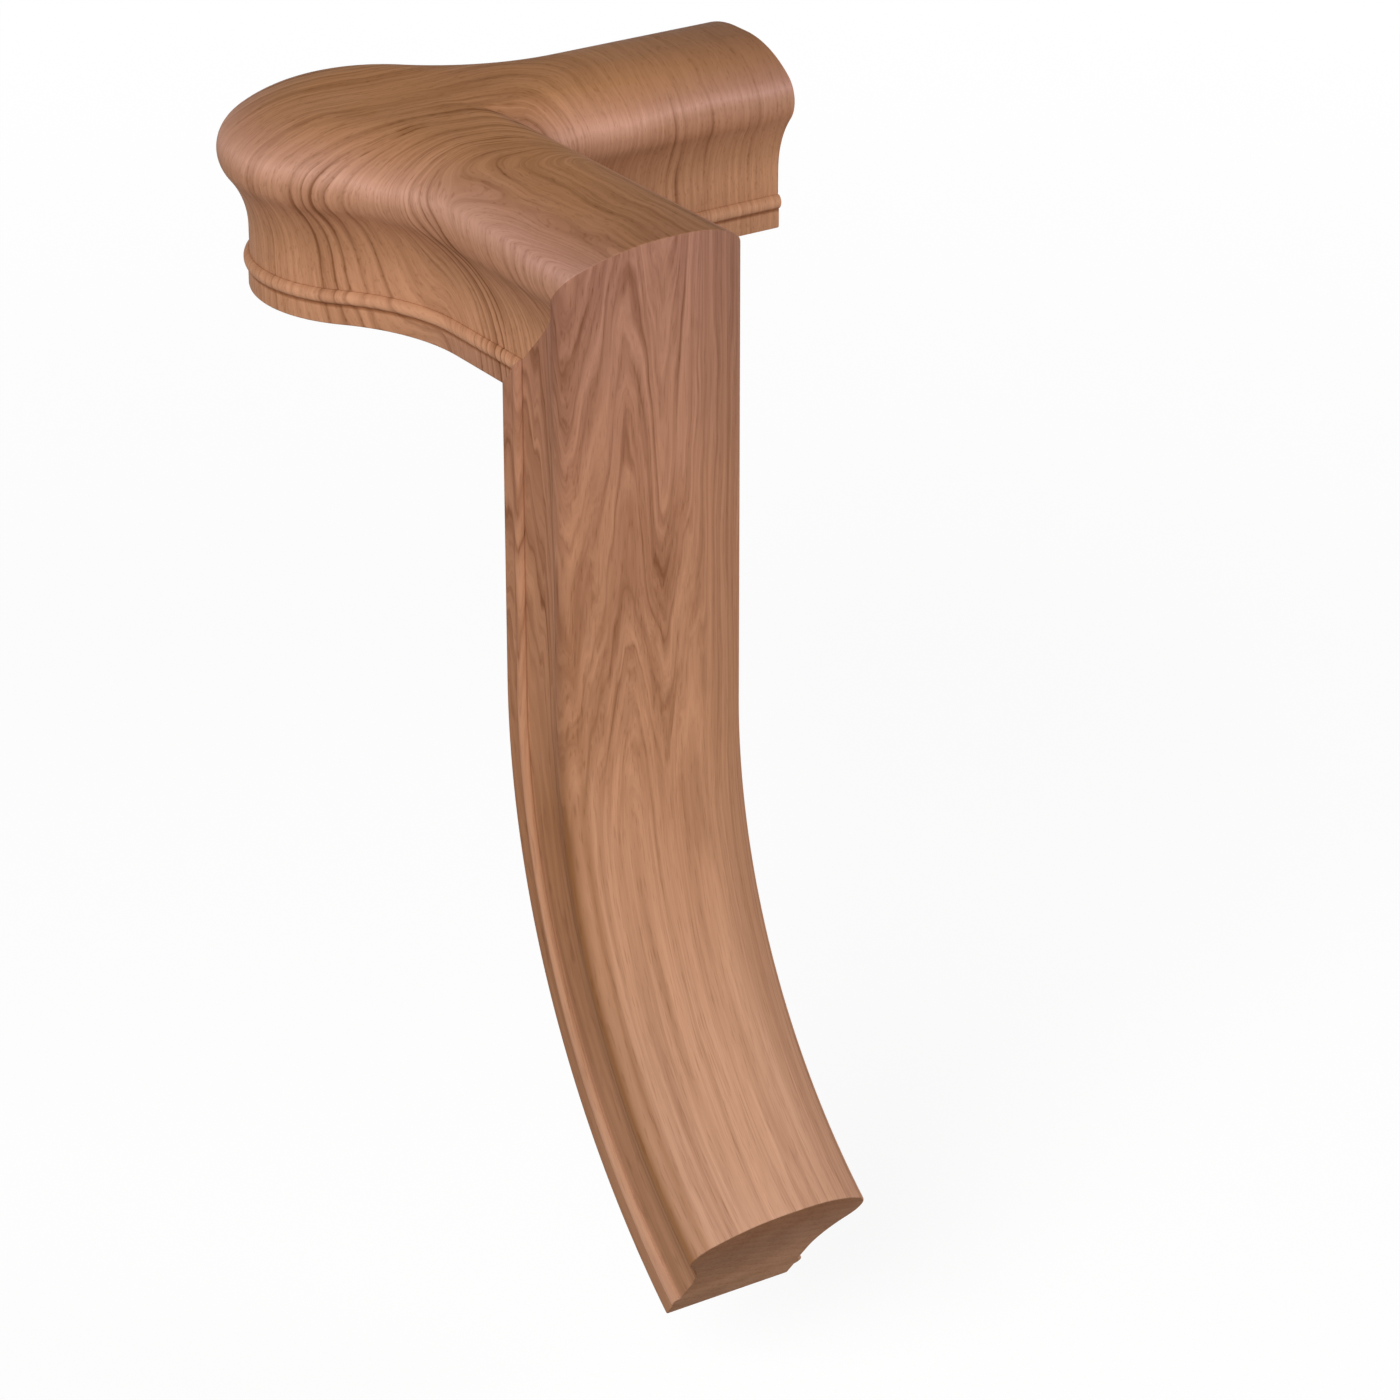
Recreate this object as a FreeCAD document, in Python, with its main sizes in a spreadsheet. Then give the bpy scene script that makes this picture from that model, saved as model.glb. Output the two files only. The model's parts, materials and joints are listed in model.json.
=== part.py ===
import FreeCAD, Part
import math
import os
import Sketcher

# Right-hand quarter-turn gooseneck with cap, for a wooden stair handrail.
# A level blank carries a round newel cap at its corner and two moulded arms.
# Its front arm is mitred to a leg that drops plumb, then eases into the stair's slope.
# Origin: crossing of the two arms' centre lines, on the flat underside that seats on the newel.
# +X runs along the level arm, -Y along the front arm, +Z up. Millimetres and degrees.

# Driving sizes, each with what it measures.
SIZES = {
    "rail_width": (57.15, "across the rail's shoulders"),
    "rail_height": (56.2, "flat underside to crown"),
    "crown_rise": (14.9, "widest point up to the crown"),
    "crown_flat": (6.0, "width of the level strip along the crown"),
    "shoulder_radius": (9.2, "round of the shoulder"),
    "cove_depth": (8.3, "shoulder in to the neck, each side"),
    "neck_rise": (17.9, "underside to the foot of the cove"),
    "base_height": (6.1, "plain band under the bead"),
    "base_proud": (0.5, "base band outside the neck, each side"),
    "bead_height": (4.4, "bead above the base band"),
    "bead_proud": (1.25, "bead outside the base band, each side"),
    "front_reach": (137.8, "newel centre to the riser's crown"),
    "level_reach": (112.9, "newel centre to the level arm's cut end"),
    "cap_radius": (46.3, "round cap over the newel"),
    "cap_shift": (9.8, "cap centre out from the corner, on the diagonal"),
    "flare_radius": (49.4, "hollow where each arm flares into the cap"),
    "riser_drop": (89.1, "underside of the level arm to the start of the easing"),
    "easing_radius": (157.0, "hollow curve of the easing's crown"),
    "easing_angle": (51.9, "degrees from plumb to the cut end"),
}
value = {name: number for name, (number, note) in SIZES.items()}

# Sizes that follow from these, as numbers to draw with and as formulas that hold the drawing.
half_width = value["rail_width"] / 2
HALF_WIDTH = "Sizes.rail_width / 2"
neck_width = half_width - value["cove_depth"]
NECK_WIDTH = "(Sizes.rail_width / 2 - Sizes.cove_depth)"
base_width = neck_width + value["base_proud"]
BASE_WIDTH = "(Sizes.rail_width / 2 - Sizes.cove_depth + Sizes.base_proud)"
half_flat = value["crown_flat"] / 2
HALF_FLAT = "Sizes.crown_flat / 2"
riser_back = value["front_reach"] - value["rail_height"]
RISER_BACK = "(Sizes.front_reach - Sizes.rail_height)"
BEAD_RADIUS = "(Sizes.bead_height ^ 2 / 4 + Sizes.bead_proud ^ 2) / (2 * Sizes.bead_proud)"

doc = FreeCAD.newDocument("gooseneck")
sheet = doc.addObject("Spreadsheet::Sheet", "Sizes")
for row, (name, (number, note)) in enumerate(SIZES.items(), start=1):
    sheet.set(f"A{row}", name)
    sheet.set(f"B{row}", str(number))
    sheet.set(f"C{row}", note)
    sheet.setAlias(f"B{row}", name)
doc.recompute()


def new_body(label):
    body = doc.addObject("PartDesign::Body", label)
    body.Label = label
    return body


def origin_plane(body, role):
    return next(feature for feature in body.Origin.OriginFeatures if feature.Role == role)


def new_sketch(body, name, role, offset="0"):
    """An empty sketch on one of the body's origin planes, moved along its normal."""
    sketch = body.newObject("Sketcher::SketchObject", name)
    sketch.AttachmentSupport = [(origin_plane(body, role), "")]
    sketch.MapMode = "FlatFace"
    sketch.setExpression(".AttachmentOffset.Base.z", offset)
    return sketch


def add_segment(sketch, curve, start, construction=False):
    """Add a line or arc, and note which of the sketch's point numbers are its ends as it was drawn."""
    edge = sketch.addGeometry(curve, construction)
    turned = (sketch.getPoint(edge, 1) - start).Length > (sketch.getPoint(edge, 2) - start).Length
    ends = {"first": 2, "last": 1} if turned else {"first": 1, "last": 2}
    return {"edge": edge, "centre": 3, **ends}


def draw_chain(sketch, corners, arcs=None, smooth=(), closed=True):
    """Lines and arcs from corner to corner, joined, with tangents at the smooth corners.

    arcs maps a segment's number to a point on its arc. Lines along an axis are held to it.
    """
    arcs = arcs or {}
    points = [FreeCAD.Vector(x, y, 0) for x, y in corners]
    count = len(points) if closed else len(points) - 1
    chain = []
    for number in range(count):
        first = points[number]
        last = points[(number + 1) % len(points)]
        if number in arcs:
            middle = FreeCAD.Vector(*arcs[number], 0)
            chain.append(add_segment(sketch, Part.Arc(first, middle, last), first))
            continue
        segment = add_segment(sketch, Part.LineSegment(first, last), first)
        chain.append(segment)
        if math.isclose(first.y, last.y, abs_tol=1e-6):
            sketch.addConstraint(Sketcher.Constraint("Horizontal", segment["edge"]))
        if math.isclose(first.x, last.x, abs_tol=1e-6):
            sketch.addConstraint(Sketcher.Constraint("Vertical", segment["edge"]))
    for number in range(0 if closed else 1, count):
        before = chain[number - 1]
        after = chain[number]
        kind = "Tangent" if number in smooth else "Coincident"
        joint = (before["edge"], before["last"], after["edge"], after["first"])
        sketch.addConstraint(Sketcher.Constraint(kind, *joint))
    return chain


def drive_x(sketch, segment, end, formula):
    """Hold the x of a segment's first end, last end or centre to a formula of the sheet."""
    place = (segment["edge"], segment[end])
    now = sketch.getPoint(*place).x
    index = sketch.addConstraint(Sketcher.Constraint("DistanceX", *place, now))
    sketch.setExpression(f"Constraints[{index}]", formula)


def drive_y(sketch, segment, end, formula):
    """Hold the y of a segment's first end, last end or centre to a formula of the sheet."""
    place = (segment["edge"], segment[end])
    now = sketch.getPoint(*place).y
    index = sketch.addConstraint(Sketcher.Constraint("DistanceY", *place, now))
    sketch.setExpression(f"Constraints[{index}]", formula)


def drive_radius(sketch, segment, formula):
    """Hold an arc's radius to a formula of the sheet."""
    now = sketch.Geometry[segment["edge"]].Radius
    index = sketch.addConstraint(Sketcher.Constraint("Radius", segment["edge"], now))
    sketch.setExpression(f"Constraints[{index}]", formula)


def on_circle(centre, radius, angle):
    return centre[0] + radius * math.cos(angle), centre[1] + radius * math.sin(angle)


def draw_half_section(sketch, side, lap, lap_formula, rise=1, foot=0.0, foot_formula="0"):
    """One side of the rail's moulding, closed a lap past the centre line.

    side is +1 or -1 for the way it faces. rise and foot say which way is up and where the underside is.
    """
    height = value["rail_height"]
    widest = height - value["crown_rise"]
    bead_top = value["base_height"] + value["bead_height"]
    bead_mid = value["base_height"] + value["bead_height"] / 2
    round_r = value["shoulder_radius"]
    round_x = half_width - round_r

    # The cove leaves the neck upright and meets the shoulder's round smoothly.
    into = neck_width - round_x
    up = widest - value["neck_rise"]
    cove_r = (into**2 + up**2 - round_r**2) / (2 * (round_r - into))
    cove_centre = (neck_width + cove_r, value["neck_rise"])
    cove_angle = math.atan2(widest - cove_centre[1], round_x - cove_centre[0])

    # The crown leaves the shoulder's round smoothly and ends level at the flat strip.
    across = round_x - half_flat
    above = value["crown_rise"]
    crown_r = (across**2 + above**2 - round_r**2) / (2 * (above - round_r))
    crown_centre = (half_flat, height - crown_r)
    crown_angle = math.atan2(widest - crown_centre[1], round_x - crown_centre[0])

    corners = [
        (-lap, 0.0),
        (base_width, 0.0),
        (base_width, value["base_height"]),
        (base_width, bead_top),
        (neck_width, bead_top),
        (neck_width, value["neck_rise"]),
        on_circle(cove_centre, cove_r, cove_angle),
        on_circle(crown_centre, crown_r, crown_angle),
        (half_flat, height),
        (-lap, height),
    ]
    bottom, base, bead, quirk, neck, cove, shoulder, crown, top, inner = range(len(corners))
    arcs = {
        bead: (base_width + value["bead_proud"], bead_mid),
        cove: on_circle(cove_centre, cove_r, (cove_angle + math.pi) / 2),
        shoulder: (half_width, widest),
        crown: on_circle(crown_centre, crown_r, (crown_angle + math.pi / 2) / 2),
    }

    def placed(point):
        return side * point[0], foot + rise * point[1]

    def out(formula):
        return f"{side} * ({formula})"

    def up_from_foot(formula):
        return f"{foot_formula} + {rise} * ({formula})"

    chain = draw_chain(
        sketch,
        [placed(corner) for corner in corners],
        {number: placed(point) for number, point in arcs.items()},
        smooth=(cove, shoulder, crown, top),
    )
    drive_x(sketch, chain[bottom], "first", out(f"-({lap_formula})"))
    drive_x(sketch, chain[bottom], "last", out(BASE_WIDTH))
    drive_y(sketch, chain[bottom], "first", up_from_foot("0"))
    drive_y(sketch, chain[base], "last", up_from_foot("Sizes.base_height"))
    drive_x(sketch, chain[bead], "last", out(BASE_WIDTH))
    drive_y(sketch, chain[bead], "last", up_from_foot("Sizes.base_height + Sizes.bead_height"))
    drive_radius(sketch, chain[bead], BEAD_RADIUS)
    drive_x(sketch, chain[neck], "first", out(NECK_WIDTH))
    drive_y(sketch, chain[neck], "last", up_from_foot("Sizes.neck_rise"))
    drive_x(sketch, chain[shoulder], "centre", out(f"{HALF_WIDTH} - Sizes.shoulder_radius"))
    drive_y(sketch, chain[shoulder], "centre", up_from_foot("Sizes.rail_height - Sizes.crown_rise"))
    drive_radius(sketch, chain[shoulder], "Sizes.shoulder_radius")
    drive_x(sketch, chain[top], "first", out(HALF_FLAT))
    drive_y(sketch, chain[top], "first", up_from_foot("Sizes.rail_height"))


# Plan of the cap: a hollow flare, the round cap and the other hollow flare, all tangent.
cap_out = value["cap_shift"] / math.sqrt(2)
CAP_OUT = "Sizes.cap_shift / sqrt(2)"
cap_centre = (-cap_out, cap_out)
flare_x = -half_width - value["flare_radius"]
flare_run = value["cap_radius"] + value["flare_radius"]
flare_y = cap_out - math.sqrt(flare_run**2 - (flare_x + cap_out) ** 2)
flare_centre = (flare_x, flare_y)
flare_angle = math.atan2(flare_y - cap_out, flare_x + cap_out)

# The core stops where the flare's crown line has left the arm's centre line by this much.
core_lap = value["crown_flat"] * 2 / 3
CORE_LAP = "Sizes.crown_flat * 2 / 3"


def across_diagonal(point):
    """The level arm's match for a point of the front arm."""
    return -point[1], -point[0]


def cap_arcs(inset, start):
    """Joint and mid points of the plan's arcs, moved in from the outline by an inset."""
    joint = on_circle(cap_centre, value["cap_radius"] - inset, flare_angle)
    start_angle = math.atan2(start[1] - flare_y, start[0] - flare_x)
    middle_angle = (start_angle + flare_angle + math.pi) / 2
    hollow_middle = on_circle(flare_centre, value["flare_radius"] + inset, middle_angle)
    cap_middle = on_circle(cap_centre, value["cap_radius"] - inset, math.radians(135))
    return joint, hollow_middle, cap_middle


def drive_cap_arcs(sketch, hollow, cap, far_hollow, inset_formula):
    drive_radius(sketch, hollow, f"Sizes.flare_radius + {inset_formula}")
    drive_radius(sketch, far_hollow, f"Sizes.flare_radius + {inset_formula}")
    drive_radius(sketch, cap, f"Sizes.cap_radius - {inset_formula}")
    drive_x(sketch, cap, "centre", f"-{CAP_OUT}")
    drive_y(sketch, cap, "centre", CAP_OUT)


def draw_outline_path(sketch):
    """The plan outline of the outer side, from the riser's crown round the cap to the level end."""
    leave = (-half_width, flare_y)
    joint, hollow_middle, cap_middle = cap_arcs(0.0, leave)
    corners = [
        (-half_width, -value["front_reach"]),
        leave,
        joint,
        across_diagonal(joint),
        across_diagonal(leave),
        (value["level_reach"], half_width),
    ]
    front, hollow, cap, far_hollow, level = range(len(corners) - 1)
    arcs = {hollow: hollow_middle, cap: cap_middle, far_hollow: across_diagonal(hollow_middle)}
    chain = draw_chain(sketch, corners, arcs, smooth=(hollow, cap, far_hollow, level), closed=False)
    drive_cap_arcs(sketch, chain[hollow], chain[cap], chain[far_hollow], "0")
    drive_x(sketch, chain[front], "first", f"-{HALF_WIDTH}")
    drive_y(sketch, chain[front], "first", "-Sizes.front_reach")
    drive_x(sketch, chain[level], "last", "Sizes.level_reach")
    drive_y(sketch, chain[level], "last", HALF_WIDTH)


def draw_core(sketch):
    """The level ground inside the moulded edge: the crown line's arcs, closed along the arms."""
    hollow_r = value["flare_radius"] + half_width
    leave = (-core_lap, flare_y + math.sqrt(hollow_r**2 - (hollow_r - core_lap) ** 2))
    joint, hollow_middle, cap_middle = cap_arcs(half_width, leave)
    corners = [
        (0.0, leave[1]),
        leave,
        joint,
        across_diagonal(joint),
        across_diagonal(leave),
        (-leave[1], 0.0),
        (0.0, 0.0),
    ]
    trim, hollow, cap, far_hollow, far_trim, level_line, front_line = range(len(corners))
    arcs = {hollow: hollow_middle, cap: cap_middle, far_hollow: across_diagonal(hollow_middle)}
    chain = draw_chain(sketch, corners, arcs, smooth=(cap, far_hollow))
    drive_cap_arcs(sketch, chain[hollow], chain[cap], chain[far_hollow], HALF_WIDTH)
    drive_x(sketch, chain[hollow], "centre", f"-({HALF_WIDTH} + Sizes.flare_radius)")
    drive_y(sketch, chain[far_hollow], "centre", f"{HALF_WIDTH} + Sizes.flare_radius")
    drive_x(sketch, chain[trim], "last", f"-({CORE_LAP})")
    drive_y(sketch, chain[far_trim], "first", CORE_LAP)
    drive_x(sketch, chain[front_line], "first", "0")
    drive_y(sketch, chain[front_line], "first", "0")


def cut_mitre(body, name, waste):
    """Cut a body back to the mitre plane with a wedge that lies under or over that plane."""
    over = value["crown_flat"]
    OVER = "Sizes.crown_flat"
    inner = (over - riser_back, -over)
    outer = (-value["front_reach"] - over, value["rail_height"] + over)
    far = (outer[0], inner[1]) if waste == "under" else (inner[0], outer[1])
    sketch = new_sketch(body, f"{name}_wedge", "YZ_Plane")
    slope = draw_chain(sketch, [inner, outer, far])[0]
    drive_x(sketch, slope, "first", f"{OVER} - {RISER_BACK}")
    drive_y(sketch, slope, "first", f"-{OVER}")
    drive_x(sketch, slope, "last", f"-Sizes.front_reach - {OVER}")
    drive_y(sketch, slope, "last", f"Sizes.rail_height + {OVER}")
    pocket = body.newObject("PartDesign::Pocket", name)
    pocket.Profile = sketch
    pocket.Midplane = True
    pocket.setExpression("Length", "Sizes.rail_width * 2")


def build_quarter_turn_cap():
    """The level blank: moulded outer edge, inner sides that meet in the corner, ground between."""
    body = new_body("quarter_turn_cap")

    path = new_sketch(body, "outer_edge_path", "XY_Plane")
    draw_outline_path(path)
    outer = new_sketch(body, "outer_edge_section", "XZ_Plane", "Sizes.front_reach")
    draw_half_section(outer, -1, half_flat, HALF_FLAT)
    sweep = body.newObject("PartDesign::AdditivePipe", "outer_edge")
    sweep.Profile = outer
    sweep.Spine = path

    # Each inner side runs a little past the other arm's centre line, so the two meet in an inside mitre.
    front = new_sketch(body, "front_inner_section", "XZ_Plane", "-Sizes.crown_flat")
    draw_half_section(front, 1, half_flat, HALF_FLAT)
    front_pad = body.newObject("PartDesign::Pad", "front_inner_side")
    front_pad.Profile = front
    front_pad.setExpression("Length", "Sizes.front_reach + Sizes.crown_flat")

    level = new_sketch(body, "level_inner_section", "YZ_Plane", "-Sizes.crown_flat")
    draw_half_section(level, -1, half_flat, HALF_FLAT)
    level_pad = body.newObject("PartDesign::Pad", "level_inner_side")
    level_pad.Profile = level
    level_pad.setExpression("Length", "Sizes.level_reach + Sizes.crown_flat")

    core = new_sketch(body, "cap_ground_outline", "XY_Plane")
    draw_core(core)
    core_pad = body.newObject("PartDesign::Pad", "cap_ground")
    core_pad.Profile = core
    core_pad.setExpression("Length", "Sizes.rail_height")

    cut_mitre(body, "front_mitre", "under")
    return body


def build_drop_leg():
    """The plumb riser and the easing below it, in one blank, mitred to the front arm."""
    body = new_body("drop_leg")
    section = new_sketch(body, "leg_section", "XY_Plane", "-Sizes.riser_drop")
    draw_half_section(section, 1, 0.0, "0", rise=-1, foot=-riser_back, foot_formula=f"-{RISER_BACK}")

    # The easing turns about a level line in front of the riser's crown.
    axis_start = FreeCAD.Vector(0, -value["front_reach"] - value["easing_radius"], 0)
    axis_end = axis_start + FreeCAD.Vector(half_width, 0, 0)
    axis = add_segment(section, Part.LineSegment(axis_start, axis_end), axis_start, construction=True)
    section.addConstraint(Sketcher.Constraint("Horizontal", axis["edge"]))
    drive_x(section, axis, "first", "0")
    drive_y(section, axis, "first", "-Sizes.front_reach - Sizes.easing_radius")
    drive_x(section, axis, "last", HALF_WIDTH)

    riser = body.newObject("PartDesign::Pad", "riser")
    riser.Profile = section
    riser.setExpression("Length", "Sizes.riser_drop + Sizes.rail_height")

    easing = body.newObject("PartDesign::Revolution", "easing")
    easing.Profile = section
    easing.ReferenceAxis = (section, ["Axis0"])
    easing.Reversed = True
    easing.setExpression("Angle", "Sizes.easing_angle")

    other_half = body.newObject("PartDesign::Mirrored", "other_half")
    other_half.Originals = [riser, easing]
    other_half.MirrorPlane = (origin_plane(body, "YZ_Plane"), [""])
    body.Tip = other_half

    cut_mitre(body, "riser_mitre", "over")
    return body


bodies = [build_quarter_turn_cap(), build_drop_leg()]
doc.recompute()

for thing in doc.Objects:
    if "Invalid" in thing.State or "Error" in thing.State:
        raise RuntimeError(f"{thing.Name} did not build: {thing.State}")
for body in bodies:
    if body.Shape.isNull() or not body.Shape.isValid() or len(body.Shape.Solids) != 1:
        raise RuntimeError(f"{body.Label} is not one valid solid")

os.makedirs("parts", exist_ok=True)
for body in bodies:
    body.Shape.exportStep(f"parts/{body.Label}.step")
    print(body.Label, f"{body.Shape.Volume / 1000:.1f} cm3")
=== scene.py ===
import json
import math
import bpy
from mathutils import Matrix, Vector

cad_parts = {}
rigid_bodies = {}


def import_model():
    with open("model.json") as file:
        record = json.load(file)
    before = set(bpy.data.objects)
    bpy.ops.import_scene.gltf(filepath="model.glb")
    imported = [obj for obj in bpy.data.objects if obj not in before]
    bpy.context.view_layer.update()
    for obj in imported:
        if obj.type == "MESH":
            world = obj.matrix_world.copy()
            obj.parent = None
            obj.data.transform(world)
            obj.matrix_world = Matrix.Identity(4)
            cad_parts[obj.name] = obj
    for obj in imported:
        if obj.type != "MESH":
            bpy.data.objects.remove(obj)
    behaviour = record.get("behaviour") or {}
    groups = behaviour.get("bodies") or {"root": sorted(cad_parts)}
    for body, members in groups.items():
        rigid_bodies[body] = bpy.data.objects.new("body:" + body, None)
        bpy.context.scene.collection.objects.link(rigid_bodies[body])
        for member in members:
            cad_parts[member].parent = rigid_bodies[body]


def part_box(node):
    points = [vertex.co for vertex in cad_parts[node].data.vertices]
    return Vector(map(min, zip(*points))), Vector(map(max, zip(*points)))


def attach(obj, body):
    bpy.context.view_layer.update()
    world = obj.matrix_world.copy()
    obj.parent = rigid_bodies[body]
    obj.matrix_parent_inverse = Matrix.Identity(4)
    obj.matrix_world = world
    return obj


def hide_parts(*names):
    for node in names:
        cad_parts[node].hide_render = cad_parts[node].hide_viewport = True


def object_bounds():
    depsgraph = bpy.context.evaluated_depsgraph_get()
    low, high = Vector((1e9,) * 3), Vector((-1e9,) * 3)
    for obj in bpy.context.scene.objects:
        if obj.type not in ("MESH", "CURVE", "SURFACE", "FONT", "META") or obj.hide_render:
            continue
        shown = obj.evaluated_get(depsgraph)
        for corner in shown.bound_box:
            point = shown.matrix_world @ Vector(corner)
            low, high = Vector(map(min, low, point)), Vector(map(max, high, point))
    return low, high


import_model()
cad_box = [list(corner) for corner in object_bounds()]
bpy.ops.object.select_all(action="DESELECT")

# Gooseneck fitting for a wooden stair handrail, seen from the front left and a little above.
# The frame's origin is where the two arms' centre lines cross, on the flat underside.
# +X runs along the level arm, -Y along the front arm, +Z up. Metres.
MM = 0.001
cap_low, cap_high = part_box("quarter_turn_cap")
leg_low, leg_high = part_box("drop_leg")

# Rail section. What a box of the frame shows is taken from it.
RAIL_HEIGHT = cap_high.z
RAIL_WIDTH = leg_high.x - leg_low.x
CROWN_RISE = 14.9 * MM
CROWN_FLAT = 6.0 * MM
SHOULDER_RADIUS = 9.2 * MM
COVE_DEPTH = 8.3 * MM
NECK_RISE = 17.9 * MM
BASE_HEIGHT = 6.1 * MM
BASE_PROUD = 0.5 * MM
BEAD_HEIGHT = 4.4 * MM
BEAD_PROUD = 1.25 * MM

# Plan of the level blank.
FRONT_REACH = -cap_low.y
LEVEL_REACH = cap_high.x
CAP_RADIUS = 46.3 * MM
FLARE_RADIUS = 49.4 * MM

# The leg below the mitre.
RISER_DROP = 89.1 * MM
EASING_RADIUS = 157.0 * MM
EASING_ANGLE = math.radians(51.9)

# What the sandpaper takes off the sharp edges.
FOOT_EASE = 0.6 * MM
RIDGE_EASE = 0.4 * MM
CUT_EASE = 0.35 * MM

# How finely the sweeps and the eased edges are stepped, and the angle under which faces look smooth.
FLARE_STEPS = 28
CAP_STEPS = 64
EASING_STEPS = 72
RIDGE_STEPS = 4
CUT_STEPS = 2
SMOOTH_ANGLE = math.radians(24)

# Planes and lengths that follow from the sizes, and how near counts as touching.
HALF_WIDTH = RAIL_WIDTH / 2
RISER_BACK = FRONT_REACH - RAIL_HEIGHT
OVERRUN = 25 * MM
CLOSE = 0.01 * MM
DIAGONAL = math.radians(45)
EASING_CENTRE = Vector((0, -FRONT_REACH - EASING_RADIUS, -RISER_DROP))
MITRE_POINT = Vector((0, -RISER_BACK, 0))
MITRE_NORMAL = Vector((0, 1, 1)).normalized()
CORNER_NORMAL = Vector((1, 1, 0)).normalized()
UP = (0, 0, 1)

# The wood's tones by height on the cap blank and by distance down the leg, in mm, with light painted into
# them: a paler, pinker painted sheen highlight on the cap's shoulders, painted shade in its coves and a
# painted highlight that pales the lower easing. The leg's tones start from LEG_TOP, above the mitre, and
# span LEG_SPAN.
CAP_TONES_AND_LIGHT = (
    (0, "#b58464"), (14, "#b28161"), (24, "#a87959"), (34, "#a67455"), (41, "#ad7f64"),
    (45.5, "#c3947e"), (50, "#bc8a6e"), (56, "#bb865c"),
)
LEG_TOP = -60.0
LEG_SPAN = 330.0
LEG_TONES_AND_LIGHT = ((-50, "#a17360"), (20, "#ab7a5e"), (90, "#b78565"), (160, "#b8896b"), (250, "#c2957a"))

# Painted shade along the easing's side, in streaks: distance in from the crown in mm, and strength.
EASING_SHADE = (
    (7.0, 0.0), (8.6, 0.5), (10.0, 0.15), (12.5, 0.45), (14.5, 0.85), (20, 1.0), (27, 1.0), (31, 0.7),
    (37, 0.55), (44.5, 0.5), (46, 0.1), (50, 0.1), (51, 0.55), (56, 0.5),
)

# What darkens the wood's grain where it is strongest, the painted shade along the easing's side and on the
# arms' crowns, the painted shadow under the bead, and the painted highlight on the bead.
GRAIN_DARK = "#b1a090"
EASING_SHADE_DARK = "#b8a378"
ARMS_PAINTED_SHADE = "#dedeeb"
BEAD_SHADOW_DARK = "#c8b5a5"
BEAD_HIGHLIGHT = "#41322a"

# End grain's tones at the crown's edge and at the underside, the height between them, and what darkens it.
END_CROWN = "#936648"
END_FOOT = "#b98a67"
END_FADE = 38 * MM
END_DARK = "#b5a29e"

# How deep the grain lies in the surface.
GRAIN_DEPTH = 0.1 * MM

# Width of a year's growth in mm on the cap blank, on the leg and on the sawn ends.
CAP_YEAR = 2.9
LEG_YEAR = 3.0
END_YEAR = 3.2

# The cap blank's rings, in mm. One pith lies under the front arm, one above its end, as Y, Z and 0.
# The counts bring the rings round the first, on the level arm and on the front arm's crown into step.
NEAR_PITH = (-36.6, -3.8, 0.0)
FAR_PITH = (-137.0, 100.0, 0.0)
NEAR_COUNT = 150.0
LEVEL_COUNT = 115.0
CROWN_COUNT = 75.0

# Where the cap blank's years show: distance along their count in mm, and strength.
YEARS_SPAN = 240.0
STRONG_YEARS = (
    (0, 0.1), (50, 0.1), (56, 0.5), (95, 0.5), (98, 1.0), (115, 1.0), (118, 0.15), (128, 0.1), (130, 1.0),
    (142, 0.9), (145, 0.25), (150, 0.25), (152, 0.6), (156, 0.5), (160, 0.12), (176, 0.05), (186, 0.08),
    (190, 0.6), (193, 1.0), (197, 1.0), (199, 0.15), (201, 0.15), (202.5, 0.9), (205, 0.8), (207, 0.08),
    (216, 0.08), (218, 0.9), (221.5, 0.8), (223, 0.08),
)

# Numbers of a Mix node's sockets, and settings that are used again and again.
FACTOR = 0
VALUE_A = 2
VALUE_B = 3
COLOUR_A = 6
COLOUR_B = 7
BLEND = {"data_type": "RGBA"}
STAIN = {"data_type": "RGBA", "blend_type": "MULTIPLY"}
LIGHTEN = {"data_type": "RGBA", "blend_type": "ADD"}
SMOOTH = {"interpolation_type": "SMOOTHSTEP"}


def swing(centre, axis, angle, steps):
    """Turn the selected edge about an axis by the right-hand rule, which spin does the other way."""
    bpy.ops.mesh.spin(steps=steps, angle=-angle, center=centre, axis=axis)


def push(x=0.0, y=0.0, z=0.0):
    """Extrude what is selected straight."""
    bpy.ops.mesh.extrude_region_move(TRANSFORM_OT_translate={"value": (x, y, z)})


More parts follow.
